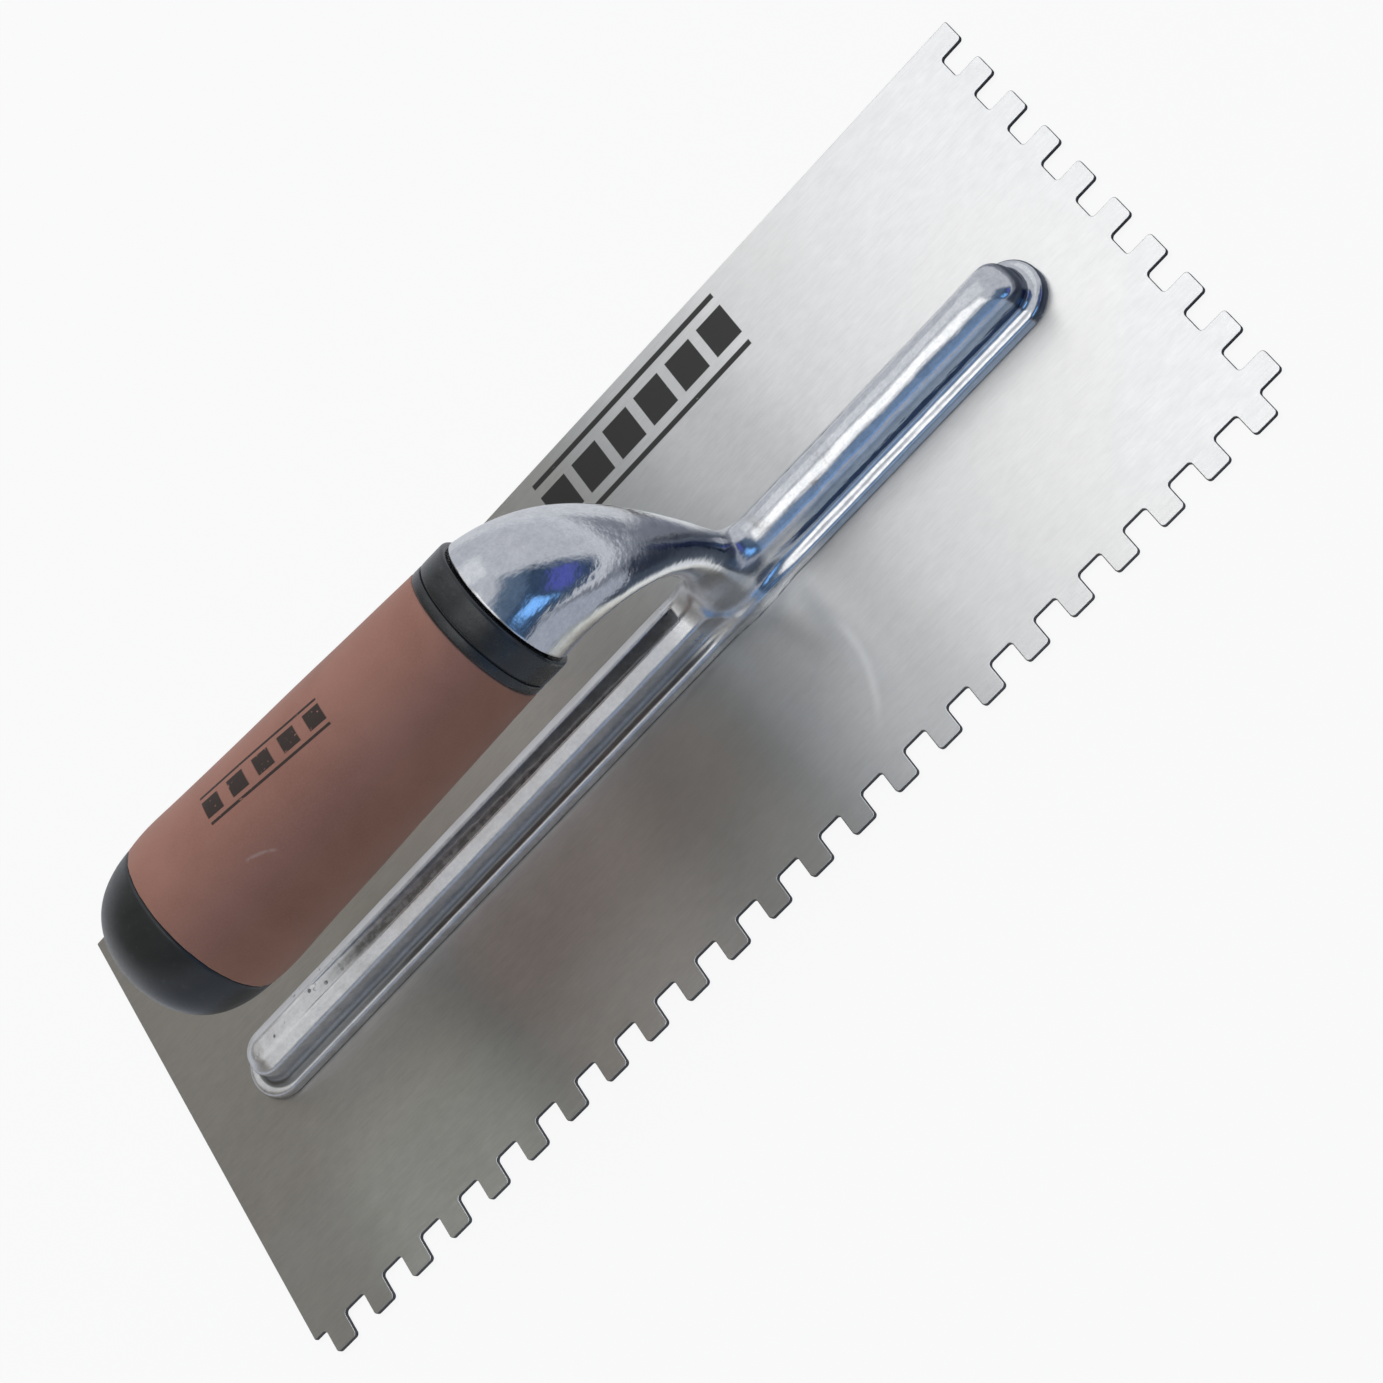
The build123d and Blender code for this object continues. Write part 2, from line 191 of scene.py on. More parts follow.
def sd_cast(x, y, z):
    # foot bar, soft top edge
    d = sd_seg(x, y, -120.8 + 8, 119.3 - 8) - 8.0
    foot = smax(d, z - 4.0, 1.4)
    foot = np.maximum(foot, BLADE_T - z)
    # rear ridge with sloped shoulders and rounded heel
    m = sd_seg(x, y, -116.3 + 5.3, 40.0)
    d = m - 5.3
    rear = smax(d, (z - 9.4) * 0.832 + (m - 5.3) * 0.555, 0.7)
    rear = smax(rear, z - 11.6, 0.5)
    rear = smax(rear, (x - 24.6) * 0.92 + (z - 11.6) * 0.39 + np.abs(y) * 0.10, 0.7)
    r = 3.4
    heel = np.sqrt(np.minimum(x - (-116.3 + r), 0) ** 2 + np.maximum(z - (11.6 - r), 0) ** 2) - r
    rear = smax(rear, heel, 0.05 + 0.75 * np.clip((-110.0 - x) / 3.0, 0, 1))
    # centre groove, running out towards the heel
    floor = 7.0 + (21.0 - x) * (4.6 / 124.0)
    gr = np.maximum(np.abs(y + 0.25) - 1.8 + 0.10 * (11.6 - z), floor - z)
    gr = smax(gr, x - 20.6, 0.6)
    rear = smax(rear, -gr, 0.45)
    # front ridge, full-round top, long rounded toe
    m = sd_seg(x, y, 30.0, 116.8 - 5.3)
    spring = 13.5 - 5.3
    fr = np.sqrt(m * m + np.maximum(z - spring, 0) ** 2) - 5.3
    r = 8.6
    toe = np.sqrt(np.maximum(x - (116.8 - r), 0) ** 2 + np.maximum(z - (13.5 - r), 0) ** 2) - r
    fr = smax(fr, toe, 0.05 + 2.15 * np.clip((x - 104.0) / 8.0, 0, 1))
    neck = sd_neck(x, y, z)
    top = smin(smin(fr, neck, 5.0), rear, 4.2)
    body = smin(top, foot, 1.9 + 3.0 * np.exp(-((x - 34.0) / 9.0) ** 2))
    # seat face for the handle
    u = (x - SEAT[0]) * AXIS[0] + (z - SEAT[2]) * AXIS[2]
    cut = np.where(z > 25, u, -30.0)
    body = smax(body, cut, 0.7)
    # spigot that enters the handle, its stud bore, and the blind rivet holes
    vv = (x - SEAT[0]) * UP[0] + (z - SEAT[2]) * UP[2]
    rr = np.sqrt(vv * vv + y * y)
    spigot = np.maximum(np.maximum(rr - 8.0, u - 9.0), -2.0 - u)
    bore = np.maximum(rr - 4.0, -5.0 - u)
    body = np.maximum(np.minimum(body, spigot), -bore)
    for rx in RIVET_X:
        body = np.maximum(body, -np.maximum(np.sqrt((x - rx) ** 2 + y * y) - 2.4, z - 6.0))
    return np.maximum(body, BLADE_T - z)


def iso_mesh(fn, lo, hi, h, block=8):
    """Closed quad mesh of fn = 0 by surface nets on a grid evaluated only near the surface."""
    lo = np.asarray(lo, float)
    n = [int(math.ceil((hi[i] - lo[i]) / h / block)) for i in range(3)]
    shape = [k * block + 1 for k in n]
    F = np.full(shape, 9.0, np.float32)
    cx = [lo[i] + (np.arange(n[i]) + 0.5) * block * h for i in range(3)]
    X, Y, Z = np.meshgrid(*cx, indexing="ij")
    C = fn(X, Y, Z)
    near = np.abs(C) < block * h * 0.87 * 1.9 + 1.6
    for (i, j, k) in np.argwhere(~near & (C < 0)):
        F[i * block:(i + 1) * block + 1, j * block:(j + 1) * block + 1, k * block:(k + 1) * block + 1] = -9.0
    idx = np.argwhere(near)
    r = np.arange(block + 1)
    ax = [lo[a] + np.arange(shape[a]) * h for a in range(3)]
    for c in range(0, len(idx), 600):
        ii = idx[c:c + 600]
        gx = ax[0][ii[:, 0:1] * block + r]
        gy = ax[1][ii[:, 1:2] * block + r]
        gz = ax[2][ii[:, 2:3] * block + r]
        V = fn(gx[:, :, None, None] + np.zeros((1, 1, len(r), len(r))), gy[:, None, :, None] + np.zeros((1, len(r), 1, len(r))),
               gz[:, None, None, :] + np.zeros((1, len(r), len(r), 1)))
        for m, (i, j, k) in enumerate(ii):
            F[i * block:(i + 1) * block + 1, j * block:(j + 1) * block + 1, k * block:(k + 1) * block + 1] = V[m]
    F[np.abs(F) < 1e-6] = 1e-6
    S = F < 0
    # cells that straddle the surface
    cnt = np.zeros([s - 1 for s in shape], np.int8)
    for dx in (0, 1):
        for dy in (0, 1):
            for dz in (0, 1):
                cnt += S[dx:shape[0] - 1 + dx, dy:shape[1] - 1 + dy, dz:shape[2] - 1 + dz]
    cell = (cnt > 0) & (cnt < 8)
    ids = np.full(cell.shape, -1, np.int64)
    cl = np.argwhere(cell)
    ids[cell] = np.arange(len(cl))
    acc = np.zeros((len(cl), 3))
    num = np.zeros(len(cl))
    quads = []
    for a in range(3):
        b, c = [(1, 2), (2, 0), (0, 1)][a]
        s0 = [slice(None)] * 3
        s1 = [slice(None)] * 3
        s0[a], s1[a] = slice(0, -1), slice(1, None)
        A, B = S[tuple(s0)], S[tuple(s1)]
        e = np.argwhere(A != B)
        fa = F[e[:, 0], e[:, 1], e[:, 2]].astype(float)
        e2 = e.copy()
        e2[:, a] += 1
        fb = F[e2[:, 0], e2[:, 1], e2[:, 2]].astype(float)
        t = fa / (fa - fb)
        p = e.astype(float)
        p[:, a] += t
        ring = []
        for ob, oc in ((0, 0), (1, 0), (1, 1), (0, 1)):
            q = e.copy()
            q[:, b] -= ob
            q[:, c] -= oc
            ok = (q >= 0).all(1) & (q < np.array(cell.shape)).all(1)
            vid = np.full(len(q), -1, np.int64)
            vid[ok] = ids[q[ok, 0], q[ok, 1], q[ok, 2]]
            good = vid >= 0
            np.add.at(acc, vid[good], p[good])
            np.add.at(num, vid[good], 1)
            ring.append(vid)
        ring = np.stack(ring, 1)
        flip = A[e[:, 0], e[:, 1], e[:, 2]]
        ring[~flip] = ring[~flip][:, ::-1]
        ring = ring[:, ::-1]
        quads.append(ring[(ring >= 0).all(1)])
    v = lo + acc / num[:, None] * h
    return v, np.concatenate(quads)


def grad(fn, v, e=0.04):
    g = np.empty_like(v)
    for a in range(3):
        d = np.zeros(3)
        d[a] = e
        p, m = v + d, v - d
        g[:, a] = (fn(p[:, 0], p[:, 1], p[:, 2]) - fn(m[:, 0], m[:, 1], m[:, 2])) / (2 * e)
    return g


def project(fn, v, quads, rounds=3):
    """Evens the mesh out along the surface and pulls every vertex onto fn = 0."""
    n = len(v)
    a = quads[:, [0, 1, 2, 3]].ravel()
    b = quads[:, [1, 2, 3, 0]].ravel()
    for k in range(rounds):
        acc = np.zeros_like(v)
        num = np.zeros(n)
        for x, y in ((a, b), (b, a)):
            for c in range(3):
                acc[:, c] += np.bincount(x, weights=v[y, c], minlength=n)
            num += np.bincount(x, minlength=n)
        avg = acc / num[:, None]
        if k < rounds - 1:
            v = v + 0.5 * (avg - v)
        f = fn(v[:, 0], v[:, 1], v[:, 2])
        g = grad(fn, v)
        gg = np.maximum((g * g).sum(1), 0.25)
        v = v - np.clip(f / gg, -0.3, 0.3)[:, None] * g
    return v


# ------------------------------------------------------------------ casting
res = 0.34
v, q = iso_mesh(sd_cast, (-122.6, -17.3, -0.6), (121.0, 17.3, 72.0), res)
v = project(sd_cast, v, q)
vol = np.einsum("ij,ij->i", v[q[:, 0]], np.cross(v[q[:, 1]], v[q[:, 2]]) + np.cross(v[q[:, 2]], v[q[:, 3]])).sum()
if vol < 0:
    q = q[:, ::-1]
casting = new_mesh_quads("mounting_casting", v, q)
n = grad(sd_cast, v, 0.14)
n /= np.maximum(np.linalg.norm(n, axis=1, keepdims=True), 1e-6)
casting.data.normals_split_custom_set_from_vertices(n.tolist())
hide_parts("mounting")
print("casting", len(v), "verts")


# ------------------------------------------------------------------ blade
def blade_corners():
    """Outline corners, anticlockwise seen from above, with the rounding of each."""
    x0, x1, y0, y1 = -BLADE_L / 2, BLADE_L / 2, -BLADE_W / 2, BLADE_W / 2
    pts = [(x0, y1), (x0, y0 + NOTCH)]
    x = x0 + HEEL_GAP
    for _ in range(23):
        pts += [(x, y0 + NOTCH), (x, y0), (x + NOTCH, y0), (x + NOTCH, y0 + NOTCH)]
        x += PITCH
    y = y0 + NOTCH
    pts = pts[:-1] + [(x1 - NOTCH, y)]
    for _ in range(10):
        pts += [(x1 - NOTCH, y), (x1, y), (x1, y + NOTCH), (x1 - NOTCH, y + NOTCH)]
        y += PITCH
    out = []
    for p in pts[:-2]:
        if not out or abs(p[0] - out[-1][0]) + abs(p[1] - out[-1][1]) > 1e-6:
            out.append(p)
    out.append((x1, y1))
    plain = {(x0, y1), (x0, y0 + NOTCH), (x1, y1)}
    return [(p, 0.35 if p in plain else CORNER_R) for p in out]


def rounded(corners, steps=7):
    """Points and outward normals along the rounded outline."""
    P, N = [], []
    m = len(corners)
    for i in range(m):
        p = np.array(corners[i][0])
        a = np.array(corners[i - 1][0]) - p
        b = np.array(corners[(i + 1) % m][0]) - p
        a, b = a / np.linalg.norm(a), b / np.linalg.norm(b)
        r = corners[i][1]
        turn = a[0] * b[1] - a[1] * b[0]
        if abs(turn) < 1e-6:
            continue
        c = p + (a + b) * r
        convex = turn < 0
        for k in range(steps + 1):
            t = k / steps * math.pi / 2
            d = -(b * math.cos(t) + a * math.sin(t))
            P.append(c + d * r)
            N.append(d if convex else -d)
    return np.array(P), np.array(N)


def make_blade():
    P, N = rounded(blade_corners())
    m = len(P)
    T, rb, rt = BLADE_T, 0.07, 0.20
    loops = [(0.0, rb + 0.05)]
    loops += [(rb * (1 - math.cos(t)), rb * (1 - math.sin(t))) for t in (0.0, 0.8, math.pi / 2)]
    loops += [(T - rt + rt * math.sin(t), rt * (1 - math.cos(t))) for t in (0.0, 0.35, 0.7, 1.05, 1.32, math.pi / 2)]
    loops.append((T, rt + 0.05))
    verts, faces = [], []
    for z, off in loops:
        q = P - N * off
        verts += [(x, y, z) for x, y in q]
    for k in range(len(loops) - 1):
        for i in range(m):
            j = (i + 1) % m
            faces.append((k * m + i, k * m + j, (k + 1) * m + j, (k + 1) * m + i))
    H = 48
    rings = {}
    for key, z, r in (("b", 0.0, 3.8), ("t", T, 2.4)):
        rings[key] = []
        for rx in RIVET_X:
            start = len(verts)
            verts += [(rx + r * math.cos(2 * math.pi * i / H), r * math.sin(2 * math.pi * i / H), z) for i in range(H)]
            rings[key].append(list(range(start, start + H)))
    for b, t in zip(rings["b"], rings["t"]):
        for i in range(H):
            j = (i + 1) % H
            faces.append((b[i], t[i], t[j], b[j]))
    from mathutils.geometry import tessellate_polygon
    for key, ring0, up in (("b", list(range(m)), False), ("t", list(range((len(loops) - 1) * m, len(loops) * m)), True)):
        polys = [ring0] + [r[::-1] for r in rings[key]]
        flat = [i for r in polys for i in r]
        tri = tessellate_polygon([[Vector((verts[i][0], verts[i][1], 0)) for i in r] for r in polys])
        for t in tri:
            a, b, c = (flat[i] for i in t)
            (ax, ay, _), (bx, by, _), (cx, cy, _) = verts[a], verts[b], verts[c]
            ccw = (bx - ax) * (cy - ay) - (by - ay) * (cx - ax) > 0
            faces.append((a, b, c) if ccw == up else (a, c, b))
    ob = new_mesh("blade_plate", verts, faces)
    smooth = [len(p.vertices) == 4 for p in ob.data.polygons]
    ob.data.polygons.foreach_set("use_smooth", smooth)
    return ob


blade = make_blade()
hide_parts("blade")


# ------------------------------------------------------------------ turned pieces
def revolve_mesh(name, prof, origin, axis, e1, e2, seg=144, wob=None):
    """Closed turned solid. prof runs round the section as (along, radius); radius 0 makes a pole."""
    verts, rows = [], []
    for k, (u, r) in enumerate(prof):
        if r < 1e-6:
            rows.append([len(verts)])
            verts.append(origin + axis * u)
            continue
        row = []
        for i in range(seg):
            t = 2 * math.pi * i / seg
            rr = r + (wob(u, t, k) if wob else 0.0)
            row.append(len(verts))
            verts.append(origin + axis * u + (e1 * math.cos(t) + e2 * math.sin(t)) * rr)
        rows.append(row)
    faces = []
    n = len(rows)
    closed = len(rows[0]) > 1
    for k in range(n if closed else n - 1):
        a, b = rows[k], rows[(k + 1) % n]
        for i in range(seg):
            j = (i + 1) % seg
            if len(a) == 1:
                faces.append((a[0], b[j], b[i]))
            elif len(b) == 1:
                faces.append((a[i], a[j], b[0]))
            else:
                faces.append((a[i], a[j], b[j], b[i]))
    v = np.array(verts)
    vol = 0.0
    for f in faces:
        for k in range(1, len(f) - 1):
            vol += np.dot(v[f[0]], np.cross(v[f[k]], v[f[k + 1]]))
    if vol < 0:
        faces = [f[::-1] for f in faces]
    return new_mesh(name, v, faces)


def fillet_path(pts, steps=5):
    """Section polyline (u, r, radius) with each corner rounded by its radius."""
    out = []
    m = len(pts)
    for i in range(m):
        p = np.array(pts[i][:2], float)
        rad = pts[i][2] if len(pts[i]) > 2 else 0.0
        if rad <= 0:
            out.append(tuple(p))
            continue
        a = np.array(pts[i - 1][:2], float) - p
        b = np.array(pts[(i + 1) % m][:2], float) - p
        la, lb = np.linalg.norm(a), np.linalg.norm(b)
        a, b = a / la, b / lb
        ang = math.acos(max(-1, min(1, float(a @ b))))
        if ang > math.pi - 0.05:
            out.append(tuple(p))
            continue
        d = min(rad / math.tan(ang / 2), 0.48 * la, 0.48 * lb)
        s, e = p + a * d, p + b * d
        for k in range(steps + 1):
            t = k / steps
            out.append(tuple((1 - t) ** 2 * s + 2 * t * (1 - t) * p + t * t * e))
    return out


def core_r(u):
    return 12.6 + 3.0 / 88.9 * u


def handle_piece(name, prof, wob=None):
    ob = revolve_mesh(name, prof, SEAT, AXIS, UP, SIDE, 168, wob)
    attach(ob, "root")
    return ob


GRIP_U = (9.3, 30.0, 60.0, 78.0, 85.0, 88.9)
GRIP_RR = (16.5, 17.4, 18.65, 19.4, 19.6, 19.3)
gu = np.concatenate([np.linspace(9.45, 86.0, 60), np.linspace(86.5, 88.2, 6)])
gr = spline(GRIP_U, GRIP_RR, gu)
grip_prof = [(8.9, core_r(8.9)), (8.9, 15.9), (8.93, 16.15), (9.05, 16.36), (9.22, 16.47)]
grip_prof += list(zip(gu, gr))
grip_prof += [(88.55, 19.33), (88.74, 19.24), (88.86, 19.08), (88.9, 18.85), (88.9, core_r(88.9))]
grip_prof += [(u, core_r(u)) for u in np.linspace(80, 18, 8)]


def grip_wob(u, t, k):
    if k < 2 or u > 88.88 or k > 5 + 66 + 2:
        return 0.0
    w = 0.035 * math.sin(3 * t + 0.11 * u + 1.3) + 0.03 * math.sin(2 * t - 0.07 * u) + 0.02 * math.sin(5 * t + 0.23 * u)
    edge = math.exp(-((u - 88.6) / 0.5) ** 2)
    w += edge * (0.05 * math.sin(17 * t + 1.0) + 0.05 * math.sin(41 * t + 2.0) - 0.03)
    front = math.exp(-((u - 9.2) / 0.35) ** 2)
    return w + front * 0.04 * math.sin(23 * t)


grip = handle_piece("grip_cover", grip_prof, grip_wob)
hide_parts("grip_sleeve")

C0, C1, CR = 0.35, 8.9, 16.45
collar_prof = fillet_path([
    (C0, core_r(C0), 0), (C0, CR, 0.7), (2.6, CR + 0.02, 0), (4.6, CR + 0.02, 0), (6.25, CR, 0.22), (6.38, CR - 0.55, 0.1),
    (6.62, CR - 0.55, 0.1), (6.75, CR, 0.22), (7.6, CR + 0.02, 0), (C1, CR + 0.02, 0.45), (C1, core_r(C1), 0)])
collar = handle_piece("collar_ring", collar_prof)
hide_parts("front_collar")

dome_u = np.array((88.9, 92.5, 96.5, 100.5, 104.0, 106.5, 107.4))
dome_r = np.array((19.3, 18.95, 18.0, 16.1, 12.7, 7.2, 0.0))
ch = np.concatenate([[0], np.cumsum(np.hypot(np.diff(dome_u), np.diff(dome_r)))])
# mirror the profile past the pole so that the tip comes out round
du = np.concatenate([dome_u, dome_u[:-1][::-1]])
dr = np.concatenate([dome_r, -dome_r[:-1][::-1]])
cc = np.concatenate([[0], np.cumsum(np.hypot(np.diff(du), np.diff(dr)))])
ts = np.linspace(0.9, ch[-1], 64)
pu, pr = spline(cc, du, ts), spline(cc, dr, ts)
pr[-1], pu[-1] = 0.0, 107.4
pu = np.minimum(pu, 107.4)
cap_prof = [(88.9, core_r(88.9)), (88.9, 18.7), (88.93, 18.98), (89.06, 19.16), (89.3, 19.25)]
cap_prof += list(zip(pu, np.maximum(pr, 0.0)))
inner = [(98.0, 0.0), (98.0, 8.0), (97.4, 8.6), (85.0, 8.6), (85.0, 10.0), (92.5, 10.0), (92.5, core_r(92.5))]


def cap_mesh():
    """Dome outside, cupped skirt inside, as one closed skin."""
    outer = cap_prof[::-1]                      # tip ... to the seam, then the seam face
    ring = outer + inner[::-1]                  # ... back inside to the axis
    return revolve_mesh("end_cap_dome", ring, SEAT, AXIS, UP, SIDE, 168)


cap = cap_mesh()
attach(cap, "root")
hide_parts("end_cap")

# countersunk rivets, flush under the blade
rv, rf = [], []
for rx in RIVET_X:
    ob = revolve_mesh("tmp", [(0.0, 0.0), (-0.012, 1.6), (0.0, 3.1), (0.02, 3.7), (0.05, 3.72), (0.98, 2.42), (1.06, 2.38), (5.5, 2.38),
                              (5.9, 2.0), (5.9, 0.0)], np.array([rx, 0.0, 0.0]), np.array([0.0, 0, 1]), np.array([1.0, 0, 0]),
                      np.array([0.0, 1, 0]), 56)
    base = len(rv)
    rv += [tuple(c.co / MM) for c in ob.data.vertices]
    rf += [tuple(base + i for i in p.vertices) for p in ob.data.polygons]
    bpy.data.objects.remove(ob)
rivets = new_mesh("rivet_heads", [(x, y, max(z, 0.0)) for x, y, z in rv], rf)
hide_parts("blade_rivets")

for ob in (casting, blade, rivets):
    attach(ob, "root")


# ------------------------------------------------------------------ material graphs
def lin(r, g, b):
    return tuple((c / 255 / 12.92 if c / 255 <= 0.04045 else ((c / 255 + 0.055) / 1.055) ** 2.4) for c in (r, g, b)) + (1.0,)


class Graph:
    """Thin wrapper that builds a node tree from nested calls."""

    def __init__(self, tree):
        self.t = tree
        tree.nodes.clear()

    def node(self, kind, **props):
        n = self.t.nodes.new(kind)
        for k, val in props.items():
            setattr(n, k, val)
        return n

    def put(self, sock, val):
        if isinstance(val, bpy.types.NodeSocket):
            self.t.links.new(val, sock)
        elif val is not None:
            sock.default_value = val

    def m(self, op, a, b=None, c=None, clamp=False):
        n = self.node("ShaderNodeMath", operation=op, use_clamp=clamp)
        for s_, v_ in zip(n.inputs, (a, b, c)):
            self.put(s_, v_)
        return n.outputs[0]

    def add(self, a, b): return self.m("ADD", a, b)
    def sub(self, a, b): return self.m("SUBTRACT", a, b)
    def mul(self, a, b): return self.m("MULTIPLY", a, b)

    def step(self, x, lo, hi):
        """0 below lo, 1 above hi, smooth between; lo > hi turns it round."""
        n = self.node("ShaderNodeMapRange", interpolation_type="SMOOTHSTEP", clamp=True)
        if lo < hi:
            vals = (lo, hi, 0.0, 1.0)
        else:
            vals = (hi, lo, 1.0, 0.0)
        self.put(n.inputs[0], x)
        for i, v_ in enumerate(vals):
            n.inputs[i + 1].default_value = v_
        return n.outputs[0]

    def line(self, x, lo, hi, a=0.0, b=1.0):
        n = self.node("ShaderNodeMapRange", clamp=True)
        self.put(n.inputs[0], x)
        for i, v_ in enumerate((lo, hi, a, b)):
            self.put(n.inputs[i + 1], v_)
        return n.outputs[0]

    def band(self, x, lo, hi, soft):
        return self.mul(self.step(x, lo - soft, lo + soft), self.step(x, hi + soft, hi - soft))

    def mix(self, f, a, b, blend="MIX"):
        n = self.node("ShaderNodeMix", data_type="RGBA", blend_type=blend)
        self.put(n.inputs[0], f)
        self.put(n.inputs[6], a)
        self.put(n.inputs[7], b)
        return n.outputs[2]

    def vec(self, v, s):
        n = self.node("ShaderNodeVectorMath", operation="MULTIPLY")
        self.put(n.inputs[0], v)
        n.inputs[1].default_value = s
        return n.outputs[0]

    def vadd(self, v, s):
        n = self.node("ShaderNodeVectorMath", operation="ADD")
        self.put(n.inputs[0], v)
        self.put(n.inputs[1], s)
        return n.outputs[0]

    def dot(self, v, s):
        n = self.node("ShaderNodeVectorMath", operation="DOT_PRODUCT")
        self.put(n.inputs[0], v)
        n.inputs[1].default_value = s
        return n.outputs["Value"]

    def noise(self, v, scale=1.0, detail=2.0, rough=0.5, dist=0.0):
        n = self.node("ShaderNodeTexNoise")
        self.put(n.inputs["Vector"], v)
        n.inputs["Scale"].default_value = scale
        n.inputs["Detail"].default_value = detail
        n.inputs["Roughness"].default_value = rough
        n.inputs["Distortion"].default_value = dist
        return n.outputs[0]

    def cells(self, v, scale, feature="F1"):
        n = self.node("ShaderNodeTexVoronoi", feature=feature)
        self.put(n.inputs["Vector"], v)
        n.inputs["Scale"].default_value = scale
        return n.outputs[0]

    def bump(self, h, strength, dist, normal=None):
        n = self.node("ShaderNodeBump")
        n.inputs["Strength"].default_value = strength
        n.inputs["Distance"].default_value = dist
        self.put(n.inputs["Height"], h)
        if normal is not None:
            self.put(n.inputs["Normal"], normal)
        return n.outputs[0]

    def out(self, **ins):
        b = self.node("ShaderNodeBsdfPrincipled")
        for k, v_ in ins.items():
            self.put(b.inputs[k.replace("_", " ")], v_)
        o = self.node("ShaderNodeOutputMaterial")
        self.t.links.new(b.outputs[0], o.inputs[0])
        return b


def material(name):
    mat = bpy.data.materials.new(name)
    mat.use_nodes = True
    g = Graph(mat.node_tree)
    co = g.node("ShaderNodeTexCoord").outputs["Object"]
    return mat, g, co


def split(g, v):
    n = g.node("ShaderNodeSeparateXYZ")
    g.put(n.inputs[0], v)
    return n.outputs[0], n.outputs[1], n.outputs[2]


def rects(g, a, b, boxes, soft):
    """Union of soft-edged rectangles (a0, a1, b0, b1) over the fields a and b."""
    total = None
    for a0, a1, b0, b1 in boxes:
        r = g.mul(g.band(a, a0, a1, soft), g.band(b, b0, b1, soft))
        total = r if total is None else g.m("MAXIMUM", total, r)
    return total


# ---- blade steel: ground along X, faint stains, painted shade and painted reflections, sheared edges painted dark with painted shade, printed notch-gauge band
mat_blade, g, co = material("blade_steel_brushed")
X, Y, Z = split(g, co)
xm, ym = g.mul(X, 1000.0), g.mul(Y, 1000.0)
fine = g.noise(g.vec(co, (150.0, 3200.0, 100.0)), 1.0, 2.0, 0.6)
mid = g.noise(g.vec(co, (60.0, 1100.0, 60.0)), 1.0, 3.0, 0.55)
cloud = g.noise(co, 38.0, 3.0, 0.55, 0.6)
cloud2 = g.noise(co, 14.0, 2.0, 0.5)
speck = g.noise(g.vec(co, (500.0, 1500.0, 500.0)), 1.0, 1.0, 0.5)
blot = g.noise(g.vec(co, (230.0, 330.0, 230.0)), 1.0, 3.0, 0.6)
tone = g.add(g.mul(g.sub(fine, 0.5), 0.42), g.mul(g.sub(mid, 0.5), 0.30))
tone = g.add(tone, g.add(g.mul(g.sub(cloud, 0.5), 0.34), g.mul(g.sub(blot, 0.5), 0.42)))
tone = g.add(tone, g.mul(g.sub(speck, 0.5), 0.30))
base = g.mix(g.m("ADD", 0.5, tone, clamp=True), (0.60, 0.60, 0.595, 1), (0.86, 0.86, 0.85, 1))
warm = g.step(cloud2, 0.42, 0.66)
heel = g.step(g.add(xm, g.mul(g.sub(cloud2, 0.5), 30.0)), 26.0, 14.0)
low_y = g.step(ym, -24.0, -40.0)
base = g.mix(g.mul(warm, 0.30), base, (0.77, 0.745, 0.70, 1))
base = g.mix(g.mul(heel, 0.60), base, g.mix(1.0, base, g.mix(low_y, (0.90, 0.865, 0.81, 1), (0.93, 0.95, 0.91, 1)), "MULTIPLY"))
# painted shade under the neck: a darker belt across the sheet there; brighter rubbed patch nearer the heel
neck_shade_belt = g.band(g.add(xm, g.mul(g.sub(cloud2, 0.5), 24.0)), -12.0, 36.0, 15.0)
base = g.mix(neck_shade_belt, base, g.mix(1.0, base, (0.70, 0.715, 0.72, 1), "MULTIPLY"))
pale = g.band(g.add(xm, g.mul(g.sub(cloud, 0.5), 12.0)), 43.0, 60.0, 9.0)
base = g.mix(pale, base, g.mix(1.0, base, (0.86, 0.865, 0.865, 1), "MULTIPLY"))
rubbed = g.mul(g.band(g.add(xm, g.mul(g.sub(cloud, 0.5), 16.0)), -114.0, -70.0, 13.0), g.step(g.add(ym, g.mul(g.sub(cloud2, 0.5), 20.0)), -12.0, -34.0))
base = g.mix(rubbed, base, g.mix(1.0, base, (1.26, 1.29, 1.28, 1), "MULTIPLY"))
# painted reflection of the neck: a lighter arc on the sheet near the neck, a little rougher
dx, dy = g.sub(xm, 14.0), g.sub(ym, -27.0)
rad = g.m("SQRT", g.add(g.mul(dx, dx), g.mul(dy, dy)))
neck_reflection_arc = g.mul(g.band(g.add(rad, g.mul(g.sub(cloud, 0.5), 3.0)), 29.4, 30.6, 1.1), g.mul(g.step(dx, 20.0, 27.0), g.band(dy, -19.0, 3.0, 4.0)))
base = g.mix(g.mul(neck_reflection_arc, 0.55), base, (0.97, 0.97, 0.95, 1))
rough = g.add(0.35, g.add(g.mul(g.sub(mid, 0.5), 0.10), g.mul(g.sub(cloud, 0.5), 0.06)))
rough = g.add(rough, g.mul(neck_reflection_arc, 0.08))
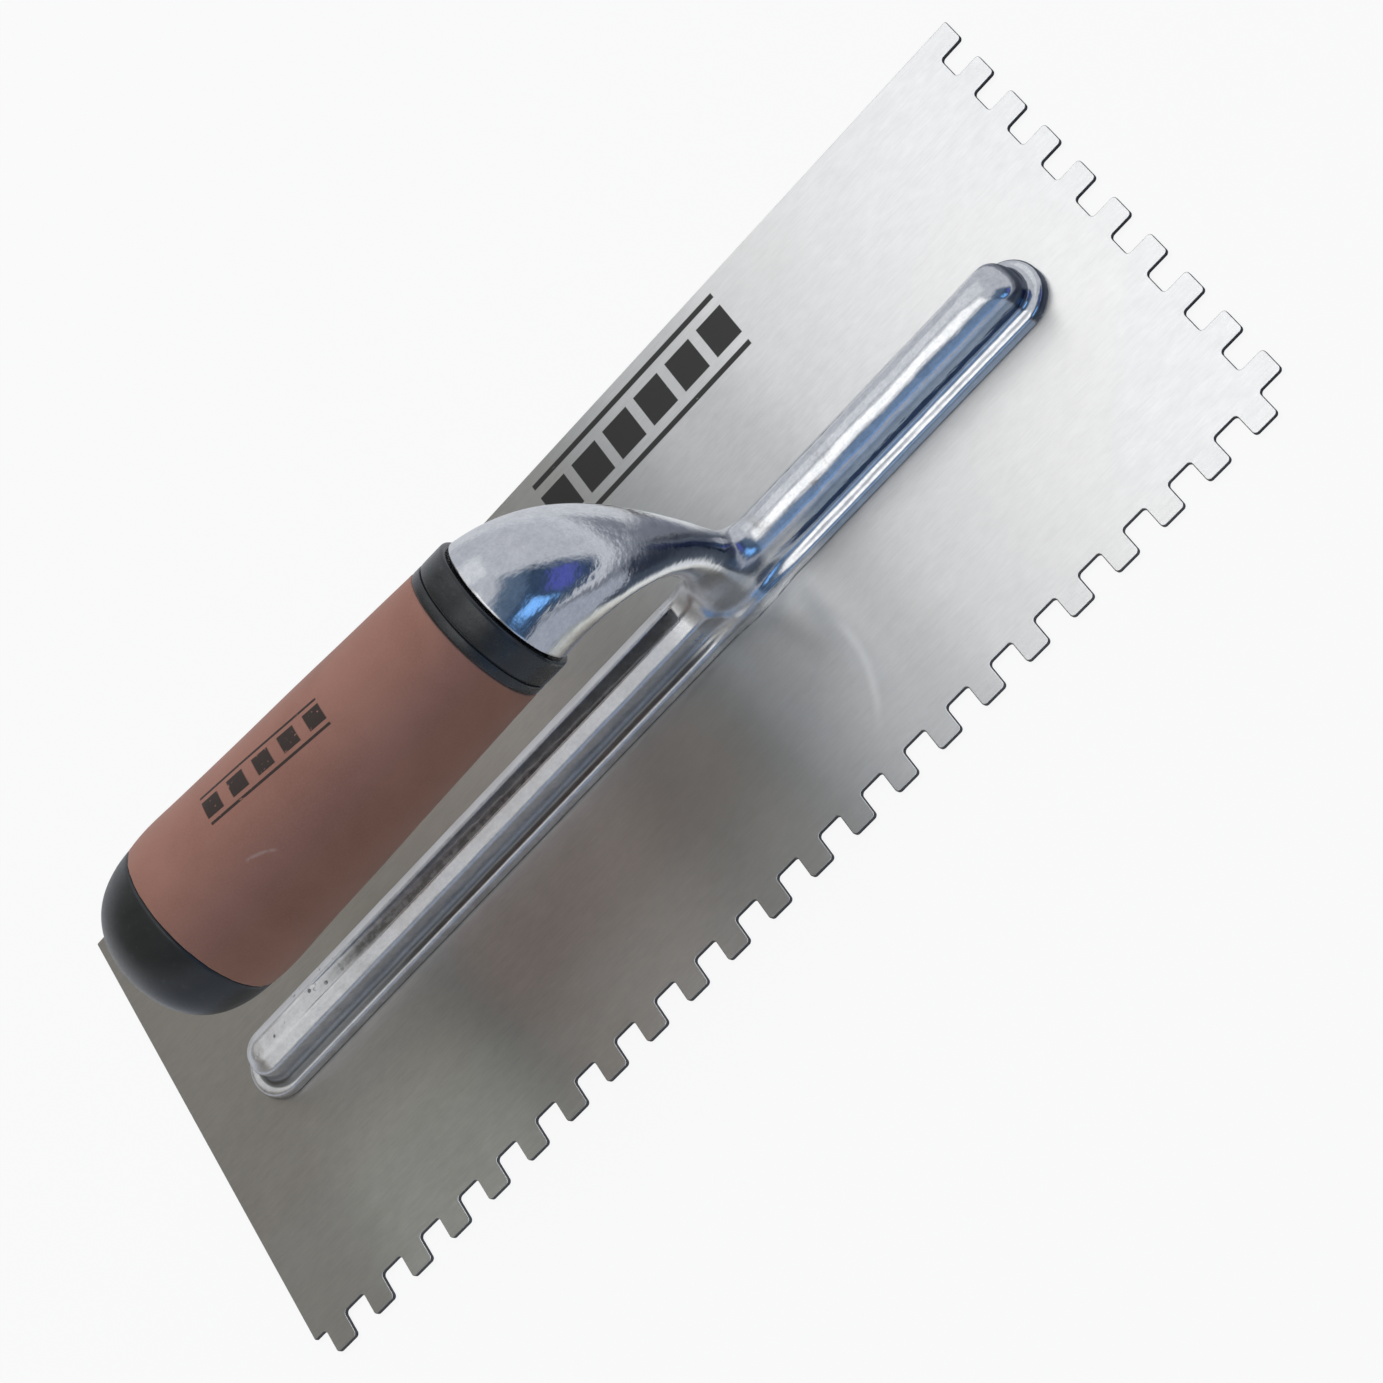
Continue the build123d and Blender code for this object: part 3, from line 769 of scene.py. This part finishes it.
# painted reflection: for glossy rays only, the sheet's colour is painted darker at a glancing angle and lighter for
# steep rays under the neck, so the polished casting shows painted dark and light reflections of it
inc = split(g, g.node("ShaderNodeNewGeometry").outputs["Incoming"])
mirrored = g.node("ShaderNodeLightPath").outputs["Is Glossy Ray"]
toward = g.step(inc[0], 0.06, -0.08)
mirror_paint_mask = g.mul(g.mul(mirrored, toward), g.mul(g.step(xm, 5.0, 25.0), g.step(ym, 26.0, 12.0)))
mirror_paint_mask = g.mul(mirror_paint_mask, g.step(inc[2], 0.93, 0.84))
shade = g.mix(g.step(xm, 62.0, 80.0), (0.22, 0.25, 0.30, 1), (0.12, 0.14, 0.18, 1))
base = g.mix(mirror_paint_mask, base, g.mix(1.0, base, shade, "MULTIPLY"))
# painted shade in the reflection of the sheet at y about 26 to 46 mm
mirror_paint_mask = g.mul(g.mul(mirrored, toward), g.mul(g.step(xm, 50.0, 68.0), g.mul(g.step(ym, 12.0, 26.0), g.step(ym, 58.0, 46.0))))
base = g.mix(mirror_paint_mask, base, g.mix(1.0, base, (0.44, 0.46, 0.54, 1), "MULTIPLY"))
# painted light: steep glossy rays under the neck see the sheet lighter
mirror_paint_mask = g.mul(mirrored, g.mul(g.mul(g.band(xm, 4.0, 44.0, 6.0), g.step(inc[2], 0.80, 0.90)), g.step(ym, 10.0, 0.0)))
base = g.mix(mirror_paint_mask, base, g.mix(1.0, base, (1.75, 1.72, 1.64, 1), "MULTIPLY"))
# painted shade in the reflection of the sheet for rays heading towards -X, on the -Y side of the front ridge
mirror_paint_mask = g.mul(g.mul(mirrored, g.sub(1.0, toward)), g.mul(g.step(xm, 44.0, 56.0), g.step(ym, 6.0, -4.0)))
shade = g.mix(g.step(ym, -16.0, -30.0), (0.44, 0.53, 0.66, 1), (0.78, 0.92, 1.12, 1))
base = g.mix(mirror_paint_mask, base, g.mix(1.0, base, shade, "MULTIPLY"))
ink_band = [(9.0, 66.0, 55.6, 57.0), (9.0, 66.0, 40.0, 41.4)] + [(9.0 + 9.9 * i, 16.5 + 9.9 * i, 43.9, 53.1) for i in range(6)]
ink = rects(g, xm, ym, ink_band, 0.09)
nz = split(g, g.node("ShaderNodeNewGeometry").outputs["True Normal"])[2]
ink = g.mul(ink, g.step(nz, 0.5, 0.9))
worn = g.step(g.noise(g.vec(co, (260.0, 900.0, 260.0)), 1.0, 3.0, 0.6), 0.80, 0.70)
ink = g.mul(ink, worn)
# side walls and bevels painted dark: the dull sheared steel with painted shade, darkest on the lower part of the wall
side = g.step(g.m("ABSOLUTE", nz), 0.95, 0.70)
edge_dark_and_shade = g.mix(g.step(g.mul(Z, 1000.0), 0.34, 0.46), (0.066, 0.065, 0.063, 1), (0.135, 0.135, 0.132, 1))
base = g.mix(g.mul(side, 0.93), base, edge_dark_and_shade)
# painted contact shadow: a dark line on the sheet along the edge of the foot bar, from the heel end, fading out between
# x = 22 and 44 mm
past = g.m("MAXIMUM", g.sub(-112.8, xm), 0.0)
reach = g.m("SQRT", g.add(g.mul(past, past), g.mul(ym, ym)))
foot_contact_shadow = g.mul(g.band(reach, 6.0, 8.35, 0.4), g.step(xm, 44.0, 22.0))
base = g.mix(g.mul(foot_contact_shadow, 0.55), base, (0.20, 0.20, 0.19, 1))
base = g.mix(ink, base, (0.018, 0.017, 0.016, 1))
rough = g.m("MAXIMUM", rough, g.mul(side, 0.5))
rough = g.m("MAXIMUM", rough, g.mul(ink, 0.42))
height = g.add(g.mul(fine, 0.5), g.mul(mid, 0.5))
nrm = g.bump(height, 0.22, 0.00003)
nrm = g.bump(g.noise(g.vec(co, (9.0, 14.0, 9.0)), 1.0, 1.0, 0.4), 0.5, 0.0006, nrm)
across = g.node("ShaderNodeCombineXYZ")
across.inputs[1].default_value = 1.0
g.out(Base_Color=base, Metallic=g.mul(g.sub(1.0, ink), 0.88), Roughness=rough, Anisotropic=0.88, Tangent=across.outputs[0], Normal=nrm)

# ---- cast aluminium: polished by hand, with pits left in the groove, painted shade in the hollows, painted light and painted reflections
mat_cast, g, co = material("cast_aluminium_polished")
X, Y, Z = split(g, co)
xm, ym, zm = g.mul(X, 1000.0), g.mul(Y, 1000.0), g.mul(Z, 1000.0)
grain = g.noise(g.vec(co, (900.0, 2600.0, 2600.0)), 1.0, 3.0, 0.6)
mott = g.noise(co, 420.0, 2.5, 0.55)
cloud = g.noise(co, 70.0, 3.0, 0.55)
swell = g.noise(co, 95.0, 1.5, 0.4)
rear = g.mul(g.step(xm, 26.0, 14.0), g.step(zm, 16.5, 13.5))
low = g.step(zm, 13.6, 12.4)
flake = g.noise(co, 1100.0, 3.0, 0.65)
tone = g.add(g.mul(g.sub(mott, 0.5), 0.70), g.mul(g.sub(grain, 0.5), 0.45))
tone = g.add(tone, g.add(g.mul(g.sub(flake, 0.5), 0.70), g.mul(g.sub(cloud, 0.5), 0.35)))
base = g.mix(g.m("ADD", 0.66, tone, clamp=True), (0.55, 0.565, 0.60, 1), (0.97, 0.975, 0.985, 1))
groove = g.mul(g.mul(rear, g.band(ym, -2.2, 2.2, 0.3)), g.mul(g.step(zm, 11.3, 10.6), g.step(xm, -104.0, -98.0)))
past = g.m("MAXIMUM", g.sub(-111.0, xm), 0.0)
reach = g.m("SQRT", g.add(g.mul(past, past), g.mul(ym, ym)))
root = g.mul(g.band(xm, 21.0, 34.5, 2.5), g.step(zm, 24.0, 15.0))
pits = g.step(g.cells(co, 620.0), 0.34, 0.20)
pitzone = g.mul(g.band(xm, -112.0, -86.0, 6.0), g.mul(g.band(ym, -1.8, 4.0, 0.8), g.step(g.noise(co, 260.0, 3.0, 0.6), 0.50, 0.60)))
pit = g.mul(pits, pitzone)
# painted shade in the centre groove, darkest along its middle and mottled
groove_shade = g.mul(groove, g.add(0.34, g.mul(g.step(g.m("ABSOLUTE", g.add(ym, 0.35)), 1.6, 0.6), 0.58)))
groove_shade = g.mul(groove_shade, g.add(0.80, g.mul(g.step(g.add(g.mul(mott, 0.6), g.mul(flake, 0.4)), 0.60, 0.42), 0.22)))
base = g.mix(groove_shade, base, (0.16, 0.158, 0.15, 1))
# painted shade on the low shelf between the rear ridge and the rim of the foot bar
shelf_shade = g.mul(g.mul(rear, g.band(reach, 5.3, 7.3, 0.22)), g.step(zm, 5.6, 4.3))
base = g.mix(g.mul(shelf_shade, 0.85), base, (0.12, 0.126, 0.132, 1))
# painted light: the far shoulder of the rear ridge lightened
far_shoulder_light = g.mul(g.mul(rear, g.band(ym, 2.3, 5.5, 0.3)), g.step(zm, 8.6, 9.2))
base = g.mix(g.mul(far_shoulder_light, 0.85), base, (1.0, 1.0, 1.0, 1))
# painted reflection: for glossy rays the casting ahead of the neck is painted dark, so it shows dark in reflections
reflected_front_dark = g.mul(g.node("ShaderNodeLightPath").outputs["Is Glossy Ray"], g.step(xm, 42.0, 50.0))
base = g.mix(reflected_front_dark, base, g.mix(1.0, base, (0.18, 0.20, 0.25, 1), "MULTIPLY"))
base = g.mix(g.mul(root, 0.3), base, (0.60, 0.61, 0.60, 1))
base = g.mix(g.mul(pit, 0.8), base, (0.10, 0.10, 0.10, 1))
rough = g.add(g.add(g.add(0.10, g.mul(g.step(zm, 14.0, 22.0), 0.045)), g.mul(rear, 0.26)), g.add(g.mul(g.sub(mott, 0.5), 0.16), g.mul(g.sub(cloud, 0.5), 0.10)))
rough = g.m("MAXIMUM", rough, g.m("MAXIMUM", g.mul(groove, 0.5), g.mul(root, 0.42)))
bowl = g.mul(g.band(xm, 38.0, 48.0, 2.5), g.step(zm, 19.0, 15.0))
rough = g.add(rough, g.add(g.mul(bowl, 0.11), g.mul(g.mul(g.step(xm, 99.0, 107.0), g.step(zm, 5.5, 7.0)), 0.08)))
ripple = g.noise(g.vec(co, (170.0, 950.0, 950.0)), 1.0, 1.5, 0.5)
height = g.add(g.mul(ripple, 0.55), g.add(g.mul(mott, 0.40), g.mul(grain, 0.05)))
nrm = g.bump(height, 0.80, 0.00010)
nrm = g.bump(swell, 0.60, 0.0007, nrm)
nrm = g.bump(g.sub(1.0, pit), 0.8, 0.0002, nrm)
g.out(Base_Color=base, Metallic=1.0, Roughness=rough, Normal=nrm)


def handle_fields(g, co):
    """Distance along the handle, angle round it (0 on top, degrees) in millimetres."""
    p = g.vadd(g.vec(co, (1000.0, 1000.0, 1000.0)), tuple(-SEAT))
    u = g.dot(p, tuple(AXIS))
    a = g.dot(p, tuple(UP))
    b = g.dot(p, (0.0, 1.0, 0.0))
    ang = g.mul(g.m("ARCTAN2", b, a), 180 / math.pi)
    return u, ang


# ---- red-brown grip rubber: dry matte skin, printed notch blocks, one scuff
mat_grip, g, co = material("grip_rubber_matte")
u, ang = handle_fields(g, co)
skin = g.noise(co, 2600.0, 4.0, 0.6)
cloud = g.noise(co, 60.0, 4.0, 0.6, 0.4)
dust = g.noise(g.vec(co, (700.0, 1500.0, 1500.0)), 1.0, 3.0, 0.6)
base = g.mix(g.line(cloud, 0.3, 0.7), (0.350, 0.160, 0.114, 1), (0.425, 0.205, 0.152, 1))
base = g.mix(g.mul(g.step(skin, 0.35, 0.75), 0.35), base, (0.46, 0.25, 0.20, 1))
base = g.mix(g.mul(g.step(dust, 0.62, 0.80), 0.25), base, (0.42, 0.27, 0.23, 1))
# painted light: the sides and underside of the grip tinted warmer, offsetting the bluish light there
base = g.mix(g.step(g.m("ABSOLUTE", ang), 40.0, 75.0), base, g.mix(1.0, base, (1.02, 0.98, 0.80, 1), "MULTIPLY"))
arc_c = g.add(g.mul(g.m("SINE", g.mul(g.sub(u, 61.0), 0.42)), 2.2), -34.0)
sc = g.mul(g.band(g.sub(ang, g.sub(arc_c, g.mul(g.sub(68.0, u), 1.2))), -1.0, 1.0, 0.9), g.band(u, 61.6, 67.2, 0.5))
sc = g.mul(sc, g.step(dust, 0.34, 0.5))
base = g.mix(g.mul(sc, 0.55), base, (0.55, 0.40, 0.35, 1))
blocks = [(36.8, 68.0, 13.6, 15.6), (36.8, 68.0, -8.0, -6.0)] + [(36.8 + 6.75 * i, 41.0 + 6.75 * i, -3.0, 10.6) for i in range(5)]
tilt = g.sub(ang, g.mul(g.sub(u, 50.0), 0.25))
ink = rects(g, u, tilt, blocks, 0.16)
ink = g.mul(ink, g.step(g.noise(co, 900.0, 3.0, 0.6), 0.74, 0.62))
base = g.mix(g.mul(ink, 0.93), base, (0.020, 0.019, 0.017, 1))
edge = g.m("MAXIMUM", g.step(u, 9.45, 9.1), g.step(u, 88.45, 88.8))
base = g.mix(g.mul(edge, 0.35), base, (0.36, 0.21, 0.17, 1))
rough = g.add(0.60, g.add(g.mul(g.sub(skin, 0.5), 0.2), g.mul(g.sub(cloud, 0.5), 0.16)))
rough = g.sub(rough, g.mul(ink, 0.12))
nrm = g.bump(g.add(g.mul(skin, 0.7), g.mul(dust, 0.3)), 0.30, 0.00008)
nrm = g.bump(cloud, 0.25, 0.0004, nrm)
g.out(Base_Color=base, Roughness=rough, Normal=nrm, Specular_IOR_Level=0.35, Sheen_Weight=0.12, Sheen_Roughness=0.5)


# ---- black rubber of the collar and the end cap
def black_rubber(name, hue, rough0):
    mat, g, co = material(name)
    u, ang = handle_fields(g, co)
    skin = g.noise(co, 1900.0, 4.0, 0.6)
    cloud = g.noise(co, 90.0, 4.0, 0.6, 0.5)
    dust = g.step(g.noise(g.vec(co, (500.0, 500.0, 500.0)), 1.0, 4.0, 0.65), 0.56, 0.78)
    base = g.mix(g.line(cloud, 0.3, 0.7), hue, tuple(c * 1.7 for c in hue[:3]) + (1.0,))
    base = g.mix(g.mul(dust, 0.22), base, (0.12, 0.125, 0.12, 1))
    # painted sheen: the end cap's dome lightened towards its tip
    base = g.mix(g.mul(g.step(u, 97.0, 106.0), 0.8), base, (0.15, 0.152, 0.15, 1))
    rough = g.add(rough0, g.add(g.mul(g.sub(skin, 0.5), 0.22), g.mul(g.sub(cloud, 0.5), 0.25)))
    nrm = g.bump(skin, 0.25, 0.00007)
    nrm = g.bump(cloud, 0.3, 0.0004, nrm)
    g.out(Base_Color=base, Roughness=rough, Normal=nrm, Specular_IOR_Level=0.68)
    return mat


mat_collar = black_rubber("collar_rubber_black", (0.019, 0.021, 0.0215, 1), 0.26)
mat_cap = black_rubber("cap_rubber_black", (0.019, 0.0215, 0.0215, 1), 0.36)


def plain_metal(name, lo_c, hi_c, rough0, scale):
    mat, g, co = material(name)
    a = g.noise(co, scale, 4.0, 0.6)
    b = g.noise(co, scale * 0.12, 3.0, 0.6)
    base = g.mix(g.line(g.add(g.mul(a, 0.6), g.mul(b, 0.4)), 0.35, 0.65), lo_c, hi_c)
    g.out(Base_Color=base, Metallic=1.0, Roughness=g.add(rough0, g.mul(g.sub(a, 0.5), 0.25)), Normal=g.bump(a, 0.3, 0.00006))
    return mat


def turned_metal(name, lo_c, hi_c, rough0):
    """Face-turned finish: fine rings round each rivet."""
    mat, g, co = material(name)
    X, Y, Z = split(g, co)
    best = None
    for rx in RIVET_X:
        d = g.sub(X, rx * MM)
        r = g.m("SQRT", g.add(g.mul(d, d), g.mul(Y, Y)))
        best = r if best is None else g.m("MINIMUM", best, r)
    a = g.noise(co, 900.0, 4.0, 0.6)
    rings = g.m("SINE", g.add(g.mul(best, 26000.0), g.mul(a, 3.0)))
    base = g.mix(g.line(g.add(g.mul(a, 0.8), g.mul(rings, 0.08)), 0.3, 0.6), lo_c, hi_c)
    g.out(Base_Color=base, Metallic=1.0, Roughness=g.add(rough0, g.mul(g.sub(a, 0.5), 0.25)), Normal=g.bump(g.add(rings, a), 0.25, 0.00003))
    return mat


mat_rivet = turned_metal("rivet_aluminium_turned", (0.55, 0.56, 0.57, 1), (0.82, 0.83, 0.84, 1), 0.34)
mat_fast = plain_metal("fastener_zinc_plate", (0.42, 0.42, 0.40, 1), (0.68, 0.67, 0.62, 1), 0.33, 800.0)


def core_plastic():
    mat, g, co = material("core_plastic_black")
    a = g.noise(co, 1200.0, 4.0, 0.6)
    b = g.noise(co, 80.0, 3.0, 0.6)
    base = g.mix(g.line(g.add(g.mul(a, 0.5), g.mul(b, 0.5)), 0.35, 0.65), (0.020, 0.020, 0.022, 1), (0.045, 0.045, 0.048, 1))
    g.out(Base_Color=base, Roughness=g.add(0.42, g.mul(g.sub(a, 0.5), 0.2)), Normal=g.bump(a, 0.3, 0.00008))
    return mat


mat_core = core_plastic()


def dress(ob, mat):
    ob.data.materials.clear()
    ob.data.materials.append(mat)


for ob, mat in ((casting, mat_cast), (blade, mat_blade), (grip, mat_grip), (collar, mat_collar), (cap, mat_cap), (rivets, mat_rivet)):
    dress(ob, mat)
for name in ("tang_stud", "tang_washer", "spring_washer", "tang_nut"):
    dress(nodes[name], mat_fast)
dress(nodes["handle_core"], mat_core)

# ------------------------------------------------------------------ floor
fl = bpy.data.meshes.new("floor")
S = 1.6
fl.from_pydata([(-S, -S, -0.0004), (S, -S, -0.0004), (S, S, -0.0004), (-S, S, -0.0004)], [], [(0, 1, 2, 3)])
floor = bpy.data.objects.new("floor", fl)
bpy.context.scene.collection.objects.link(floor)
mat_floor = bpy.data.materials.new("pale_floor")
mat_floor.use_nodes = True
g = Graph(mat_floor.node_tree)
dif = g.node("ShaderNodeBsdfDiffuse")
dif.inputs[0].default_value = (0.78, 0.78, 0.80, 1)
em = g.node("ShaderNodeEmission")
em.inputs[0].default_value = (1.0, 1.0, 1.0, 1)
em.inputs[1].default_value = 1.0
mx = g.node("ShaderNodeMixShader")
lp = g.node("ShaderNodeLightPath")
g.put(mx.inputs[0], g.mul(lp.outputs["Is Camera Ray"], 0.90))
g.t.links.new(dif.outputs[0], mx.inputs[1])
g.t.links.new(em.outputs[0], mx.inputs[2])
# painted reflection: glossy rays see the floor glow in darker and lighter patches, standing in for what the metal
# reflects; camera rays keep the plain floor
far = g.node("ShaderNodeEmission")
ground = split(g, g.node("ShaderNodeTexCoord").outputs["Object"])
glow = g.mix(g.step(ground[1], -0.03, 0.05), (0.34, 0.37, 0.44, 1), (0.62, 0.64, 0.68, 1))
glow = g.mix(g.mul(g.step(ground[0], 0.10, 0.14), g.step(ground[1], 0.20, 0.08)), glow, (0.13, 0.15, 0.19, 1))
glow = g.mix(g.step(ground[0], 0.17, 0.27), glow, (0.58, 0.61, 0.66, 1))
g.put(far.inputs[0], glow)
mg = g.node("ShaderNodeMixShader")
g.put(mg.inputs[0], g.mul(lp.outputs["Is Glossy Ray"], 0.85))
g.t.links.new(mx.outputs[0], mg.inputs[1])
g.t.links.new(far.outputs[0], mg.inputs[2])
o = g.node("ShaderNodeOutputMaterial")
g.t.links.new(mg.outputs[0], o.inputs[0])
fl.materials.append(mat_floor)

# ------------------------------------------------------------------ studio surroundings
w = bpy.data.worlds.new("studio")
bpy.context.scene.world = w
w.use_nodes = True
g = Graph(w.node_tree)
dirv = g.node("ShaderNodeTexCoord").outputs["Generated"]
dx, dy, dz = split(g, dirv)
el = g.mul(g.m("ARCSINE", g.m("MINIMUM", g.m("MAXIMUM", dz, -1.0), 1.0)), 180 / math.pi)
az = g.mul(g.m("ARCTAN2", dx, dy), 180 / math.pi)          # 0 along +Y, 90 along +X
az = g.m("WRAP", az, 360.0, 0.0)
col = lin(188, 191, 198)
# dark room side beyond the heel
wall = g.mul(g.step(dx, -0.232, -0.256), g.step(el, 8.0, 24.0))
col = g.mix(wall, col, lin(116, 112, 105))
# slate, indigo and blue window side towards the camera and the toe
room = g.band(az, 97.0, 194.0, 9.0)
col = g.mix(g.mul(room, g.band(el, -7.0, 64.0, 8.0)), col, lin(84, 103, 126))
col = g.mix(g.mul(room, g.band(el, -7.0, 36.0, 6.0)), col, lin(54, 72, 96))
col = g.mix(g.mul(g.band(az, 103.0, 134.0, 4.0), g.band(el, 7.0, 20.0, 3.0)), col, lin(84, 92, 172))
col = g.mix(g.mul(g.band(az, 143.0, 170.0, 3.5), g.band(el, 10.0, 26.0, 3.0)), col, (0.25, 0.58, 1.18, 1))
col = g.mix(g.mul(g.band(az, 114.0, 200.0, 9.0), g.step(el, -3.0, -7.0)), col, lin(168, 178, 198))
col = g.mix(g.mul(g.band(az, 181.0, 198.0, 4.0), g.band(el, -12.0, 38.0, 6.0)), col, lin(112, 136, 168))
col = g.mix(g.mul(g.band(az, 183.0, 198.0, 4.0), g.band(el, -12.0, 10.0, 5.0)), col, lin(128, 158, 200))
# lighter ceiling beyond the plain edge, towards the toe
col = g.mix(g.mul(g.band(dx, -0.225, 0.30, 0.03), g.mul(g.step(dy, 0.22, 0.32), g.band(el, 38.0, 78.0, 6.0))), col, lin(216, 219, 224))
# ceiling panel
panel = g.mul(g.band(dx, -0.262, 0.05, 0.018), g.mul(g.step(dy, 0.22, -0.10), g.step(dy, -0.80, -0.42)))
panel = g.mul(panel, g.step(el, 30.0, 45.0))
col = g.mix(panel, col, (1.18, 1.19, 1.19, 1))
lp = g.node("ShaderNodeLightPath")
col = g.mix(lp.outputs["Is Camera Ray"], col, (0.97, 0.97, 0.97, 1))
bg = g.node("ShaderNodeBackground")
g.put(bg.inputs[0], col)
bg.inputs[1].default_value = 1.0
o = g.node("ShaderNodeOutputWorld")
g.t.links.new(bg.outputs[0], o.inputs[0])

# soft key light above the plain edge
key = bpy.data.lights.new("soft_key", "AREA")
key.shape, key.size, key.size_y, key.energy = "RECTANGLE", 0.9, 0.9, 8.0
key_ob = bpy.data.objects.new("soft_key", key)
bpy.context.scene.collection.objects.link(key_ob)
key_ob.visible_glossy = False
kp = Vector((-0.15, 0.75, 1.35))
key_ob.location = kp
key_ob.rotation_euler = (Vector((-0.02, 0, 0.03)) - kp).to_track_quat("-Z", "Y").to_euler()

# strip panels that brighten the sheet steel towards the toe
only_blade = bpy.data.collections.new("sheet_only")
only_blade.objects.link(blade)
for i, (x0, rad) in enumerate(((-0.19, 0.26), (-0.12, 0.30), (-0.06, 0.34))):
    L = bpy.data.lights.new("toe_panel_%d" % i, "AREA")
    L.shape, L.size, L.size_y = "RECTANGLE", 0.75 - x0, 1.5
    L.energy = rad * math.pi * L.size * L.size_y
    lo_ = bpy.data.objects.new("toe_panel_%d" % i, L)
    bpy.context.scene.collection.objects.link(lo_)
    lo_.location = (x0 + L.size / 2, 0.55, 1.0 + 0.01 * i)
    lo_.light_linking.receiver_collection = only_blade

# large fill that only the casting sees, over the heel side
only_cast = bpy.data.collections.new("casting_only")
only_cast.objects.link(casting)
L = bpy.data.lights.new("casting_fill", "AREA")
L.shape, L.size, L.size_y = "RECTANGLE", 0.55, 2.0
L.energy = 0.55 * math.pi * L.size * L.size_y
L.color = (0.97, 0.985, 1.0)
lo_ = bpy.data.objects.new("casting_fill", L)
bpy.context.scene.collection.objects.link(lo_)
lo_.location = (-0.62, 0.0, 1.05)
lo_.light_linking.receiver_collection = only_cast

# ------------------------------------------------------------------ camera
cam = bpy.data.cameras.new("camera")
cam_ob = bpy.data.objects.new("camera", cam)
bpy.context.scene.collection.objects.link(cam_ob)
cam.sensor_width = 36.0
cam.lens = 79.92
cam_ob.matrix_world = Matrix(((0.6703, 0.6967, 0.2555, 0.16987), (-0.5017, 0.6792, -0.5358, -0.34362),
                              (-0.5468, 0.2310, 0.8048, 0.50308), (0, 0, 0, 1)))
bpy.context.scene.camera = cam_ob
bpy.context.scene.view_settings.view_transform = "Standard"
bpy.context.scene.view_settings.look = "None"

bpy.context.view_layer.update()
